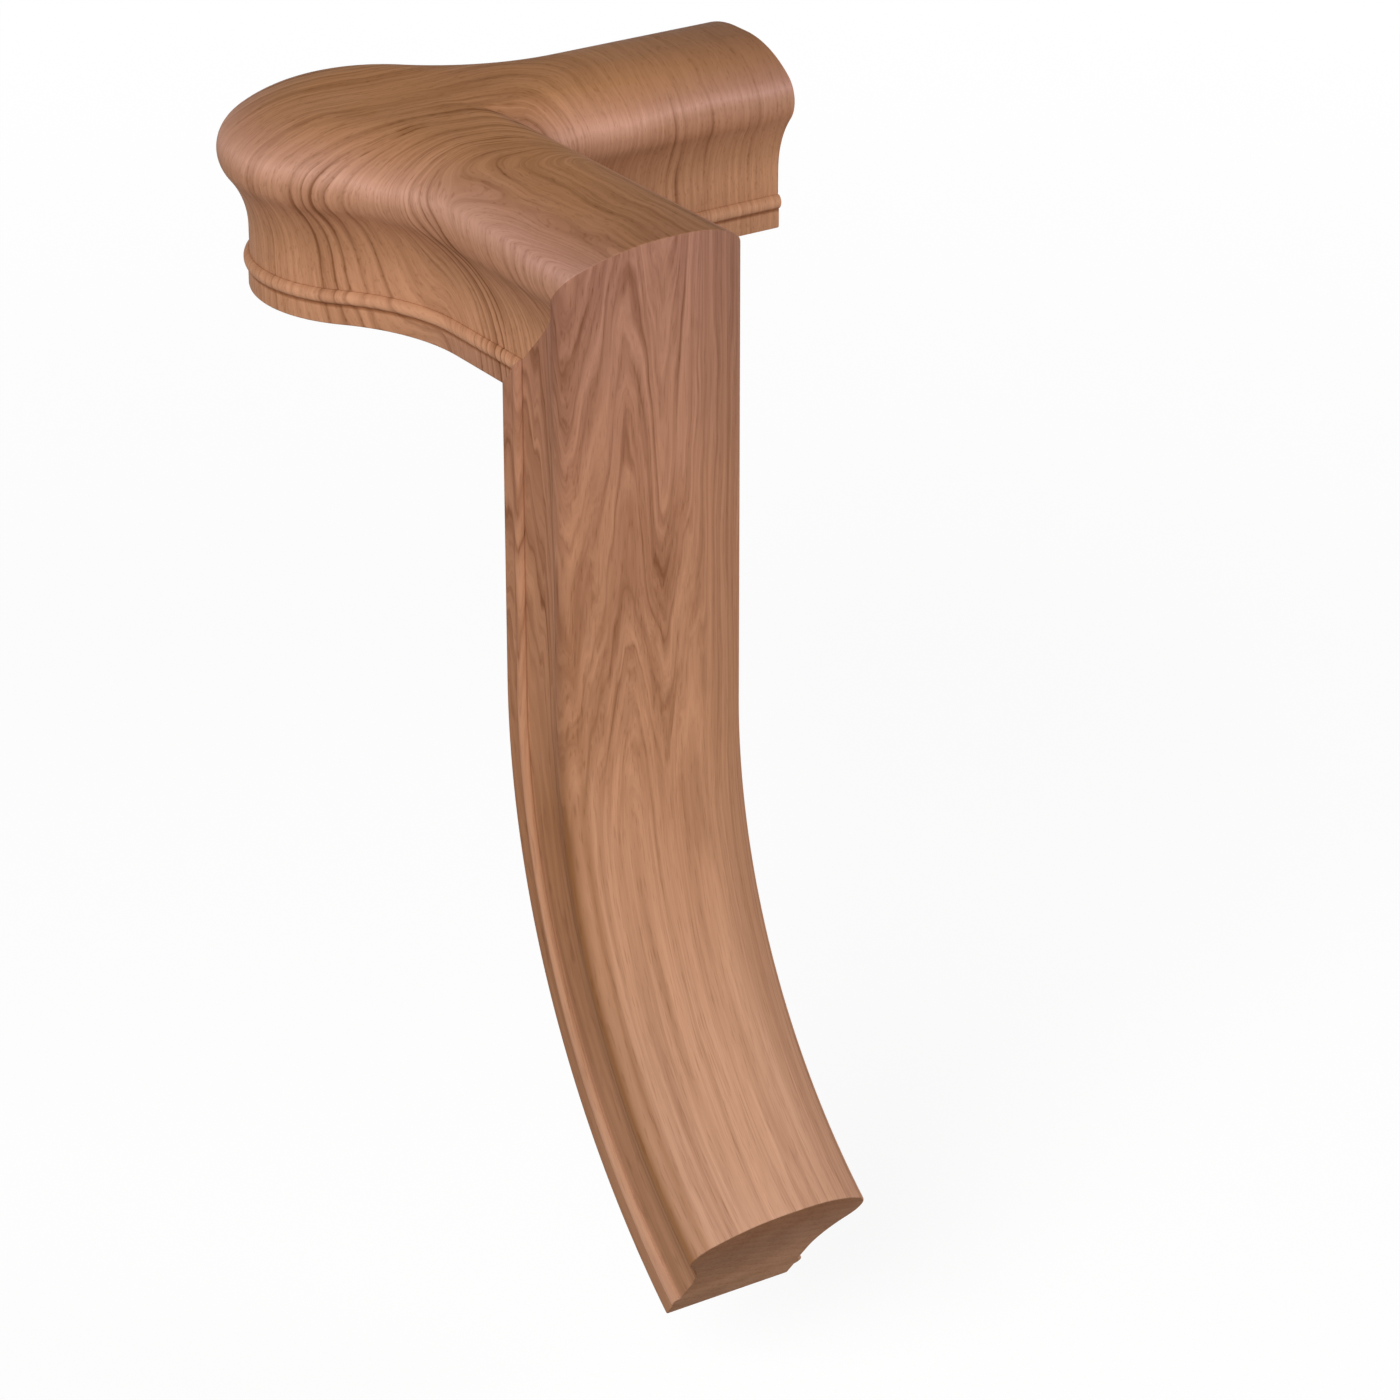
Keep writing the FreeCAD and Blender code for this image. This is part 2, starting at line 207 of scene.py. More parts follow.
def draw_half_section(side):
    """One side of the rail's moulding, upright over the origin, as a selected chain of edges.

    It runs from the middle of the underside to the middle of the crown. side is +1 or -1 along X.
    """
    neck = HALF_WIDTH - COVE_DEPTH
    base = neck + BASE_PROUD
    widest = RAIL_HEIGHT - CROWN_RISE
    bead_top = BASE_HEIGHT + BEAD_HEIGHT
    bead_radius = (BEAD_HEIGHT**2 / 4 + BEAD_PROUD**2) / (2 * BEAD_PROUD)
    bead_centre = Vector((base + BEAD_PROUD - bead_radius, (BASE_HEIGHT + bead_top) / 2))
    foot_centre = Vector((base - FOOT_EASE, FOOT_EASE))

    # The cove leaves the neck upright and meets the shoulder's round smoothly.
    round_centre = Vector((HALF_WIDTH - SHOULDER_RADIUS, widest))
    into = neck - round_centre.x
    up = widest - NECK_RISE
    cove_radius = (into**2 + up**2 - SHOULDER_RADIUS**2) / (2 * (SHOULDER_RADIUS - into))
    cove_centre = Vector((neck + cove_radius, NECK_RISE))
    cove_end = cove_centre + (round_centre - cove_centre).normalized() * cove_radius

    # The crown leaves the round smoothly and ends level at the flat strip.
    across = round_centre.x - CROWN_FLAT / 2
    over_round = CROWN_RISE - SHOULDER_RADIUS
    crown_radius = (across**2 + CROWN_RISE**2 - SHOULDER_RADIUS**2) / (2 * over_round)
    crown_centre = Vector((CROWN_FLAT / 2, RAIL_HEIGHT - crown_radius))
    crown_start = crown_centre + (round_centre - crown_centre).normalized() * crown_radius

    # Each run's end, with the centre and number of steps where it is an arc.
    runs = [
        (Vector((base - FOOT_EASE, 0)), None, 0),
        (Vector((base, FOOT_EASE)), foot_centre, 3),
        (Vector((base, BASE_HEIGHT)), None, 0),
        (Vector((base, bead_top)), bead_centre, 12),
        (Vector((neck, bead_top)), None, 0),
        (Vector((neck, NECK_RISE)), None, 0),
        (cove_end, cove_centre, 16),
        (crown_start, round_centre, 22),
        (Vector((CROWN_FLAT / 2, RAIL_HEIGHT)), crown_centre, 18),
        (Vector((0, RAIL_HEIGHT)), None, 0),
    ]
    bpy.ops.mesh.primitive_plane_add(size=MM)
    if bpy.context.mode == "OBJECT":
        bpy.ops.object.mode_set(mode="EDIT")
    bpy.ops.mesh.merge(type="CENTER")
    here = Vector((0, 0))
    for end, centre, steps in runs:
        if centre is None:
            step = end - here
            push(x=side * step.x, z=step.y)
        else:
            before = here - centre
            after = end - centre
            angle = -side * before.angle_signed(after)
            swing((side * centre.x, 0, centre.y), (0, -1, 0), angle, steps)
        here = end
    bpy.ops.mesh.select_linked()


def slice_off(point, normal, front, fill):
    """Cut the whole mesh by a plane and drop what lies in front of it, or behind it."""
    bpy.ops.mesh.select_all(action="SELECT")
    bpy.ops.mesh.bisect(
        plane_co=point,
        plane_no=normal,
        use_fill=fill,
        clear_outer=front,
        clear_inner=not front,
        threshold=CLOSE,
    )


def close_up():
    """Merge what meets and turn the faces outwards."""
    bpy.ops.mesh.select_all(action="SELECT")
    bpy.ops.mesh.remove_doubles(threshold=CLOSE)
    bpy.ops.mesh.normals_make_consistent(inside=False)


def apply_mirror(piece, name, turn=0.0):
    """Mirror a piece across the plane at right angles to X, turned about the origin's upright axis."""
    bpy.ops.object.mode_set(mode="OBJECT")
    bpy.ops.object.empty_add(rotation=(0, 0, turn))
    guide = bpy.context.object
    bpy.ops.object.select_all(action="DESELECT")
    piece.select_set(True)
    bpy.context.view_layer.objects.active = piece
    mirror = piece.modifiers.new(name, "MIRROR")
    mirror.mirror_object = guide
    mirror.merge_threshold = CLOSE
    bpy.ops.object.modifier_apply(modifier=name)
    bpy.data.objects.remove(guide)
    bpy.ops.object.mode_set(mode="EDIT")


def ease_edges(piece, belongs, width, segments):
    """Round the edges whose two ends both belong, as a sanding block does."""
    bpy.ops.mesh.select_mode(type="EDGE")
    bpy.ops.mesh.select_all(action="DESELECT")
    bpy.ops.object.mode_set(mode="OBJECT")
    points = piece.data.vertices
    for edge in piece.data.edges:
        edge.select = all(belongs(points[number].co) for number in edge.vertices)
    bpy.ops.object.mode_set(mode="EDIT")
    bpy.ops.mesh.bevel(offset=width, segments=segments, affect="EDGES")
    bpy.ops.mesh.select_mode(type="VERT")


def on_level_end(point):
    """Whether a point lies on the level arm's sawn end."""
    return point.x > LEVEL_REACH - CLOSE


def sweep_level_blank():
    """The two arms and the round cap: one half drawn, then mirrored across the corner's diagonal."""
    centre_out = cap_low.x + CAP_RADIUS
    cap_centre = Vector((centre_out, -centre_out, 0))
    reach = CAP_RADIUS + FLARE_RADIUS
    flare_x = -HALF_WIDTH - FLARE_RADIUS
    rise = math.sqrt(reach**2 - (cap_centre.x - flare_x) ** 2)
    flare_centre = Vector((flare_x, cap_centre.y - rise, 0))
    flare_angle = math.atan2(rise, cap_centre.x - flare_x)
    cap_angle = flare_angle + DIAGONAL
    arm_end = -FRONT_REACH - OVERRUN

    draw_half_section(1)
    piece = bpy.context.object
    bpy.ops.transform.translate(value=(0, arm_end, 0))
    push(y=flare_centre.y - arm_end)
    push(y=HALF_WIDTH - flare_centre.y)
    slice_off((0, 0, 0), CORNER_NORMAL, front=True, fill=False)
    draw_half_section(-1)
    bpy.ops.transform.translate(value=(0, arm_end, 0))
    push(y=flare_centre.y - arm_end)
    swing(flare_centre, UP, flare_angle, FLARE_STEPS)
    swing(cap_centre, UP, -cap_angle, CAP_STEPS)
    apply_mirror(piece, "across the corner", DIAGONAL)
    close_up()
    bpy.ops.mesh.fill_holes(sides=0)
    slice_off((LEVEL_REACH, 0, 0), (1, 0, 0), front=True, fill=True)
    ease_edges(piece, on_level_end, CUT_EASE, CUT_STEPS)
    slice_off(MITRE_POINT, MITRE_NORMAL, front=False, fill=False)
    close_up()
    bpy.ops.object.mode_set(mode="OBJECT")
    return piece


def on_leg_end(point):
    """Whether a point lies on the leg's sawn lower end."""
    out = Vector((0, -math.sin(EASING_ANGLE), -math.cos(EASING_ANGLE)))
    return abs((point - EASING_CENTRE).dot(out)) < CLOSE


def sweep_leg():
    """The plumb riser and the easing: one side drawn, then mirrored across the middle."""
    draw_half_section(-1)
    piece = bpy.context.object
    # With no window, rotate turns the other way round from the right-hand rule.
    bpy.ops.transform.rotate(value=-math.radians(90), orient_axis="X", center_override=(0, 0, 0))
    top = RAIL_HEIGHT + OVERRUN
    bpy.ops.transform.translate(value=(0, -RISER_BACK, top))
    push(z=-RISER_DROP - top)
    swing(EASING_CENTRE, (-1, 0, 0), EASING_ANGLE, EASING_STEPS)
    apply_mirror(piece, "across the middle")
    close_up()
    bpy.ops.mesh.fill_holes(sides=0)
    ease_edges(piece, on_leg_end, CUT_EASE, CUT_STEPS)
    slice_off(MITRE_POINT, MITRE_NORMAL, front=True, fill=False)
    close_up()
    bpy.ops.object.mode_set(mode="OBJECT")
    return piece


def on_ridge(point):
    """Whether a point lies on the mitre's outer ridge, over the shoulders."""
    in_joint = abs((point - MITRE_POINT).dot(MITRE_NORMAL)) < CLOSE
    return in_joint and point.z > RAIL_HEIGHT - CROWN_RISE


def glue_and_sand(cap, leg):
    """Join the two at the mitre, ease the ridge over the joint, then part them in the joint's plane."""
    bpy.ops.object.select_all(action="DESELECT")
    cap.select_set(True)
    leg.select_set(True)
    bpy.context.view_layer.objects.active = cap
    bpy.ops.object.join()
    bpy.ops.object.mode_set(mode="EDIT")
    close_up()
    ease_edges(cap, on_ridge, RIDGE_EASE, RIDGE_STEPS)
    bpy.ops.object.mode_set(mode="OBJECT")
    bpy.ops.object.duplicate()
    leg = bpy.context.object
    for piece, front in ((leg, True), (cap, False)):
        bpy.ops.object.select_all(action="DESELECT")
        piece.select_set(True)
        bpy.context.view_layer.objects.active = piece
        bpy.ops.object.mode_set(mode="EDIT")
        slice_off(MITRE_POINT, MITRE_NORMAL, front=front, fill=True)
        close_up()
        bpy.ops.object.mode_set(mode="OBJECT")
        bpy.ops.object.shade_smooth_by_angle(angle=SMOOTH_ANGLE)
    return cap, leg


def lay_grain(leg):
    """Store where each point of the leg lies in its plank, in metres: across, in from the crown, along."""
    middle = EASING_RADIUS + RAIL_HEIGHT / 2
    grain = leg.data.attributes.new("plank", "FLOAT_VECTOR", "POINT")
    for point, place in zip(leg.data.vertices, grain.data):
        x, y, z = point.co
        if z > -RISER_DROP:
            place.vector = (x, y + FRONT_REACH, -z)
        else:
            out = y - EASING_CENTRE.y
            down = EASING_CENTRE.z - z
            depth = math.hypot(out, down) - EASING_RADIUS
            place.vector = (x, depth, RISER_DROP + math.atan2(down, out) * middle)


def linear(code):
    """An sRGB hex colour as the linear colour that a socket takes."""
    channels = [int(code[place:place + 2], 16) / 255 for place in (1, 3, 5)]
    return [c / 12.92 if c <= 0.04045 else ((c + 0.055) / 1.055) ** 2.4 for c in channels] + [1.0]


def add(tree, kind, inputs=None, stops=(), span=(), into=(), **settings):
    """One node with its settings, fixed inputs and links. A node given as an input stands for its output.

    stops are a colour ramp's. span and into are a Map Range node's: a range, and what it becomes.
    """
    node = tree.nodes.new("ShaderNode" + kind)
    for position, colour in stops[1:-1]:
        node.color_ramp.elements.new(position)
    for number, (position, colour) in enumerate(stops):
        node.color_ramp.elements[number].position = position
        node.color_ramp.elements[number].color = colour
    for name, setting in settings.items():
        setattr(node, name, setting)
    sources = dict(inputs or {})
    sources.update(enumerate(span, 1))
    sources.update(enumerate(into, 3))
    for socket, source in sources.items():
        if isinstance(source, bpy.types.Node):
            source = next(output for output in source.outputs if output.enabled)
        if isinstance(source, bpy.types.NodeSocket):
            tree.links.new(source, node.inputs[socket])
        else:
            node.inputs[socket].default_value = source
    return node


def grey(strength):
    """A strength as the colour of a ramp's stop."""
    return [strength, strength, strength, 1.0]


def new_material(name):
    """An empty node material."""
    material = bpy.data.materials.new(name)
    material.use_nodes = True
    material.node_tree.nodes.clear()
    return material, material.node_tree


def oak_surface(tree, fibre, year, vigour, softness, texture, pale):
    """Red oak from a fibre space in mm, whose X crosses the growth rings and whose Y and Z run along them.

    A year starts with a dark line of open pores and fades to dense pale wood. Where the years are weak
    only uneven soft bands show. Fine streaks and short pore dashes lie over both. Real pores are about
    0.3 mm wide, too fine for the picture, so they are drawn twice as coarse.
    """
    stray_years = 2.6
    stray_size = 2.6 * year
    patch_size = 1.3 * year
    band_size = 0.9 * year
    streak_size = 1.1
    pore_size = 0.6
    pore_shortness = (1, 6, 6)
    line_sharpness = 2.4
    ground = 0.08

    # The dark lines, one a year, which stray and come and go.
    stray = add(tree, "TexNoise", {"Vector": fibre, "Scale": 1 / stray_size, "Detail": 3.0})
    across = add(tree, "SeparateXYZ", {0: fibre}).outputs["X"]
    count = add(tree, "Math", {0: across, 1: 1 / year}, operation="MULTIPLY")
    count = add(tree, "Math", {0: stray, 1: stray_years, 2: count}, operation="MULTIPLY_ADD")
    season = add(tree, "Math", {0: count}, operation="FRACT")
    fade = add(tree, "MapRange", {0: season}, span=(0.0, 0.6), into=(1.0, 0.0))
    onset = add(tree, "MapRange", {0: season}, span=(0.75, 1.0), into=(0.0, 1.0))
    line = add(tree, "Math", {0: fade, 1: onset}, operation="MAXIMUM")
    line = add(tree, "Math", {0: line, 1: line_sharpness}, operation="POWER")
    patchy = add(tree, "TexNoise", {"Vector": fibre, "Scale": 1 / patch_size, "Detail": 3.0})
    patchy = add(tree, "MapRange", {0: patchy}, span=(0.35, 0.6), into=(0.15, 1.0))
    line = add(tree, "Math", {0: line, 1: patchy}, operation="MULTIPLY")
    line = add(tree, "Math", {0: line, 1: vigour}, operation="MULTIPLY")

    # Soft bands, fine streaks and pores.
    bands = {"Vector": fibre, "Scale": 1 / band_size, "Detail": 3.0, "Roughness": 0.6}
    bands = add(tree, "TexNoise", bands)
    bands = add(tree, "MapRange", {0: bands}, span=(0.36, 0.72), into=(0.0, softness), **SMOOTH)
    streaks = {"Vector": fibre, "Scale": 1 / streak_size, "Detail": 3.0, "Roughness": 0.7}
    streaks = add(tree, "TexNoise", streaks)
    streaks = add(tree, "MapRange", {0: streaks}, span=(0.3, 0.7), into=(-0.2, 0.26))
    streaks = add(tree, "Math", {0: streaks, 1: texture}, operation="MULTIPLY")
    short = add(tree, "VectorMath", {0: fibre, 1: pore_shortness}, operation="MULTIPLY")
    pores = add(tree, "TexNoise", {"Vector": short, "Scale": 1 / pore_size, "Detail": 1.0})
    pores = add(tree, "MapRange", {0: pores}, span=(0.58, 0.7), into=(0.0, 0.22))

    # All of them darken, roughen and sink the surface together.
    grain = line
    for layer in (bands, streaks, pores):
        grain = add(tree, "Math", {0: grain, 1: layer}, operation="ADD")
    grain = add(tree, "Math", {0: grain, 1: ground}, operation="ADD", use_clamp=True)
    colour = {FACTOR: grain, COLOUR_A: pale, COLOUR_B: linear(GRAIN_DARK)}
    colour = add(tree, "Mix", colour, **STAIN)
    rough = add(tree, "MapRange", {0: grain}, into=(0.6, 0.8))
    bump = add(tree, "Bump", {"Height": grain, "Strength": 0.12, "Distance": GRAIN_DEPTH}, invert=True)
    return colour, rough, bump


def paint_bead_light(tree, colour, height, highlight_strength):
    """Paint a highlight on the bead, as strong as asked, and a painted shadow in the corner below it.

    height is measured from the moulding's underside, in mm.
    """
    ledge = BASE_HEIGHT / MM
    bead = ledge + BEAD_HEIGHT / MM / 2
    # The bead's painted highlight.
    proud = add(tree, "Math", {0: height, 1: bead}, operation="SUBTRACT")
    proud = add(tree, "Math", {0: proud}, operation="ABSOLUTE")
    proud = add(tree, "MapRange", {0: proud}, span=(0.6, 2.0), into=(highlight_strength, 0.0))
    # The painted shadow in the corner below the bead.
    bead_shadow = add(tree, "Math", {0: height, 1: ledge}, operation="SUBTRACT")
    bead_shadow = add(tree, "Math", {0: bead_shadow}, operation="ABSOLUTE")
    bead_shadow = add(tree, "MapRange", {0: bead_shadow}, span=(0.3, 1.0), into=(1.0, 0.0))
    colour = {FACTOR: proud, COLOUR_A: colour, COLOUR_B: linear(BEAD_HIGHLIGHT)}
    colour = add(tree, "Mix", colour, **LIGHTEN)
    colour = {FACTOR: bead_shadow, COLOUR_A: colour, COLOUR_B: linear(BEAD_SHADOW_DARK)}
    return add(tree, "Mix", colour, **STAIN)


def finish_wood(tree, colour, rough, bump):
    """Bare sanded wood has only a faint soft shine."""
    wood = {"Base Color": colour, "Normal": bump, "Roughness": rough}
    shader = add(tree, "BsdfPrincipled", {**wood, "IOR": 1.5, "Specular IOR Level": 0.06})
    add(tree, "OutputMaterial", {"Surface": shader})


def cap_tone_and_light(tree, slow, x, ahead, z):
    """The cap blank's pale wood with painted light: a pinker, paler painted sheen highlight on the
    shoulders than on the sides and the top, and painted shade in the coves.

    Soft clouds blur these heights, and on the level arm they are shifted a little. The crowns carry painted
    shade towards the arms' ends, and the front arm's base carries a painted shadow.
    """
    # Tones by height, with the painted sheen highlight on the shoulders and painted shade in the coves.
    cloud_size = 40
    cloud = add(tree, "TexNoise", {"Vector": slow, "Scale": 1 / cloud_size, "Detail": 2.0})
    cloud = add(tree, "MapRange", {0: cloud}, into=(-4.0, 4.0))
    lower = add(tree, "MapRange", {0: z}, span=(44.0, 50.0), into=(3.0, -2.0))
    lower = add(tree, "MapRange", {0: x}, span=(30.0, 80.0), into=(0.0, lower))
    level = add(tree, "Math", {0: z, 1: cloud}, operation="ADD")
    level = add(tree, "Math", {0: level, 1: lower}, operation="SUBTRACT")
    level = add(tree, "MapRange", {0: level}, span=(0.0, RAIL_HEIGHT / MM))
    stops = [(height * MM / RAIL_HEIGHT, linear(code)) for height, code in CAP_TONES_AND_LIGHT]
    pale = add(tree, "ValToRGB", {0: level}, stops=stops)

    # Painted shade on the crowns towards the arms' ends, and a painted shadow on the front arm's base.
    outer = add(tree, "MapRange", {0: x}, span=(30.0, 110.0))
    front = add(tree, "MapRange", {0: ahead}, span=(62.0, 137.0))
    crown = add(tree, "MapRange", {0: z}, span=(36.0, 50.0))
    shade = add(tree, "Math", {0: outer, 1: front}, operation="MAXIMUM")
    shade = add(tree, "Math", {0: shade, 1: crown}, operation="MULTIPLY")
    # The front arm's base: a painted shadow.
    foot = add(tree, "MapRange", {0: ahead}, span=(30.0, 60.0), into=(0.0, 0.6))
    foot = add(tree, "MapRange", {0: z}, span=(5.0, 6.5), into=(foot, 0.0))
    shade = add(tree, "Math", {0: shade, 1: foot}, operation="MAXIMUM")
    pale = {FACTOR: shade, COLOUR_A: pale, COLOUR_B: linear(ARMS_PAINTED_SHADE)}
    return add(tree, "Mix", pale, **STAIN)


def cap_rings(tree, slow, x, y, z, top):
    """Distance across the cap blank's growth rings, in mm.

    They lie nested round a pith below the front arm, stand upright in the cap's side, and turn to cross
    the level arm. On the front arm's crown they run along the arm.
    """
    side_middle = 30.0
    turn_softness = 24.0
    drift_size = 50

    # Round the two piths, seen from the side.
    side = add(tree, "CombineXYZ", {0: y, 1: z})
    nested = add(tree, "VectorMath", {0: side, 1: NEAR_PITH}, operation="DISTANCE").outputs["Value"]
    nested = add(tree, "Math", {0: NEAR_COUNT, 1: nested}, operation="SUBTRACT")
    round_cap = add(tree, "VectorMath", {0: side, 1: FAR_PITH}, operation="DISTANCE").outputs["Value"]
    upright = add(tree, "MapRange", {0: y}, span=(-62.0, -28.0), into=(0.0, 0.5))
    above = add(tree, "Math", {0: z, 1: side_middle}, operation="SUBTRACT")
    round_cap = add(tree, "Math", {0: upright, 1: above, 2: round_cap}, operation="MULTIPLY_ADD")
    beside = add(tree, "MapRange", {0: y}, span=(-64.0, -34.0), **SMOOTH)
    rings = {FACTOR: beside, VALUE_A: nested, VALUE_B: round_cap}
    rings = add(tree, "Mix", rings, data_type="FLOAT")

    # Across the level arm.
    lean = add(tree, "MapRange", {0: x}, span=(25.0, 60.0), into=(0.3, -0.15))
    level = add(tree, "Math", {0: x, 1: LEVEL_COUNT}, operation="ADD")
    level = add(tree, "Math", {0: y, 1: lean, 2: level}, operation="MULTIPLY_ADD")
    rings = add(tree, "Math", {0: rings, 1: level, 2: turn_softness}, operation="SMOOTH_MAX")

    # Along the front arm's crown, and a slow drift over all.
    onward = add(tree, "MapRange", {0: y}, span=(-75.0, -40.0), into=(1.0, 0.0), **SMOOTH)
    onward = add(tree, "Math", {0: onward, 1: top}, operation="MULTIPLY")
    lengthwise = add(tree, "Math", {0: CROWN_COUNT, 1: x}, operation="SUBTRACT")
    rings = {FACTOR: onward, VALUE_A: rings, VALUE_B: lengthwise}
    rings = add(tree, "Mix", rings, data_type="FLOAT")
    drift = add(tree, "TexNoise", {"Vector": slow, "Scale": 1 / drift_size, "Detail": 3.0})
    drift = add(tree, "MapRange", {0: drift}, into=(-6.0, 6.0))
    return add(tree, "Math", {0: rings, 1: drift}, operation="ADD")


def oak_cap():
    """Red oak, shaped and sanded: bundles of cut rings on the cap's side, calm wood between and on top."""
    stretch_up = 0.35
    along_share = 0.03
    rise_share = 0.05
    break_size = 11
    soft_share = 0.25
    soft_least = 0.07
    material, tree = new_material("red oak, cap blank")
    place = add(tree, "TexCoord").outputs["Object"]
    place = add(tree, "VectorMath", {0: place, "Scale": 1 / MM}, operation="SCALE")
    slow = add(tree, "VectorMath", {0: place, 1: (1, 1, stretch_up)}, operation="MULTIPLY")
    x, y, z = add(tree, "SeparateXYZ", {0: place}).outputs
    ahead = add(tree, "Math", {0: y, 1: -1.0}, operation="MULTIPLY")
    top = add(tree, "MapRange", {0: z}, span=(47.0, 54.0), **SMOOTH)
    rings = cap_rings(tree, slow, x, y, z, top)

    # The years show where they are strong. On the crowns, which run along them, they are faint and broken.
    stops = [(distance / YEARS_SPAN, grey(strength)) for distance, strength in STRONG_YEARS]
    vigour = add(tree, "MapRange", {0: rings}, span=(0.0, YEARS_SPAN))
    vigour = add(tree, "ValToRGB", {0: vigour}, stops=stops)
    reach = add(tree, "Math", {0: x, 1: ahead}, operation="MAXIMUM")
    calmest = add(tree, "MapRange", {0: reach}, span=(30.0, 80.0), into=(0.6, 0.2))
    calm = add(tree, "MapRange", {0: z}, span=(38.0, 50.0), into=(1.0, calmest))
    vigour = add(tree, "Math", {0: vigour, 1: calm}, operation="MULTIPLY")
    broken = add(tree, "TexNoise", {"Vector": place, "Scale": 1 / break_size, "Detail": 3.0})
    broken = add(tree, "MapRange", {0: broken}, span=(0.44, 0.6), into=(0.1, 1.3))
    broken = add(tree, "Mix", {FACTOR: top, VALUE_A: 1.0, VALUE_B: broken}, data_type="FLOAT")
    vigour = add(tree, "Math", {0: vigour, 1: broken}, operation="MULTIPLY")

    # Soft bands go with the strong years, and dark flecks lie on top of the cap.
    softness = add(tree, "Math", {0: vigour, 1: soft_share, 2: soft_least}, operation="MULTIPLY_ADD")
    flecks = add(tree, "MapRange", {0: x}, span=(30.0, 70.0), into=(0.36, 0.05))
    softness = add(tree, "Math", {0: top, 1: flecks, 2: softness}, operation="MULTIPLY_ADD")
    texture = add(tree, "MapRange", {0: calm}, span=(0.25, 1.0), into=(0.6, 1.0))
    along = add(tree, "Math", {0: x, 1: y}, operation="SUBTRACT")
    along = add(tree, "Math", {0: along, 1: along_share}, operation="MULTIPLY")
    rise = add(tree, "Math", {0: z, 1: rise_share}, operation="MULTIPLY")
    fibre = add(tree, "CombineXYZ", {0: rings, 1: along, 2: rise})
    # Tones with painted light: a sheen highlight on the shoulders, and shade in the coves and on the
    # crowns.
    pale = cap_tone_and_light(tree, slow, x, ahead, z)
    colour, rough, bump = oak_surface(tree, fibre, CAP_YEAR, vigour, softness, texture, pale)
    # A painted highlight on the bead, and a painted shadow in the corner below it.
    colour = paint_bead_light(tree, colour, z, 1.0)
    finish_wood(tree, colour, rough, bump)
    return material


def leg_tone_and_light(tree, slow, along):
    """The leg's pale wood: mauve under the mitre, then brown, then paler down the easing as a painted
    highlight, softly clouded.
    """
    cloud_size = 12
    cloud = add(tree, "TexNoise", {"Vector": slow, "Scale": 1 / cloud_size, "Detail": 2.0})
    cloud = add(tree, "MapRange", {0: cloud}, into=(-30.0, 30.0))
    level = add(tree, "Math", {0: along, 1: cloud}, operation="ADD")
    level = add(tree, "MapRange", {0: level}, span=(LEG_TOP, LEG_TOP + LEG_SPAN))
    stops = [((distance - LEG_TOP) / LEG_SPAN, linear(code)) for distance, code in LEG_TONES_AND_LIGHT]
    return add(tree, "ValToRGB", {0: level}, stops=stops)


def leg_rings(tree, slow, x, inward, along):
    """Distance across the leg's growth rings, in mm.

    They fold over once left of the middle and dip along the riser, so their lines come to points. They
    wander on the riser and run straighter down the easing.
    """
    drift_size = 14
    dip_end = 100.0
    dip_softness = 40.0
    inward_share = 0.35
    fold = add(tree, "MapRange", {0: x}, span=(-16.0, -2.0), into=(18.0, 0.0), **SMOOTH)
    rings = add(tree, "Math", {0: x, 1: fold}, operation="ADD")
    dip = add(tree, "MapRange", {0: x}, span=(0.0, 10.0), into=(0.13, 0.02))
    down = add(tree, "Math", {0: along, 1: dip_end, 2: dip_softness}, operation="SMOOTH_MIN")
    rings = add(tree, "Math", {0: down, 1: dip, 2: rings}, operation="MULTIPLY_ADD")
    rings = add(tree, "Math", {0: inward, 1: inward_share, 2: rings}, operation="MULTIPLY_ADD")
    drift = add(tree, "TexNoise", {"Vector": slow, "Scale": 1 / drift_size, "Detail": 3.0})
    drift = add(tree, "MapRange", {0: drift}, into=(-6.0, 6.0))
    loose = add(tree, "MapRange", {0: along}, span=(60.0, 150.0), into=(1.0, 0.25), **SMOOTH)
    drift = add(tree, "Math", {0: drift, 1: loose}, operation="MULTIPLY")
    return add(tree, "Math", {0: rings, 1: drift}, operation="ADD")


def paint_easing_shade(tree, colour, x, inward, along):
    """Painted shade in streaks along the easing's side, and painted shade that darkens the crown to the
    right.
    """
    stops = [(depth * MM / RAIL_HEIGHT, grey(strength)) for depth, strength in EASING_SHADE]
    painted_shade = add(tree, "MapRange", {0: inward}, span=(0.0, RAIL_HEIGHT / MM))
    painted_shade = add(tree, "ValToRGB", {0: painted_shade}, stops=stops)
    lower = add(tree, "MapRange", {0: along}, span=(80.0, 125.0), into=(0.15, 1.0))
    painted_shade = add(tree, "Math", {0: painted_shade, 1: lower}, operation="MULTIPLY")
    right = add(tree, "MapRange", {0: x}, span=(4.0, 22.0), into=(0.0, 0.2))
    painted_shade = add(tree, "Math", {0: painted_shade, 1: right}, operation="MAXIMUM")
    colour = {FACTOR: painted_shade, COLOUR_A: colour, COLOUR_B: linear(EASING_SHADE_DARK)}
    return add(tree, "Mix", colour, **STAIN)


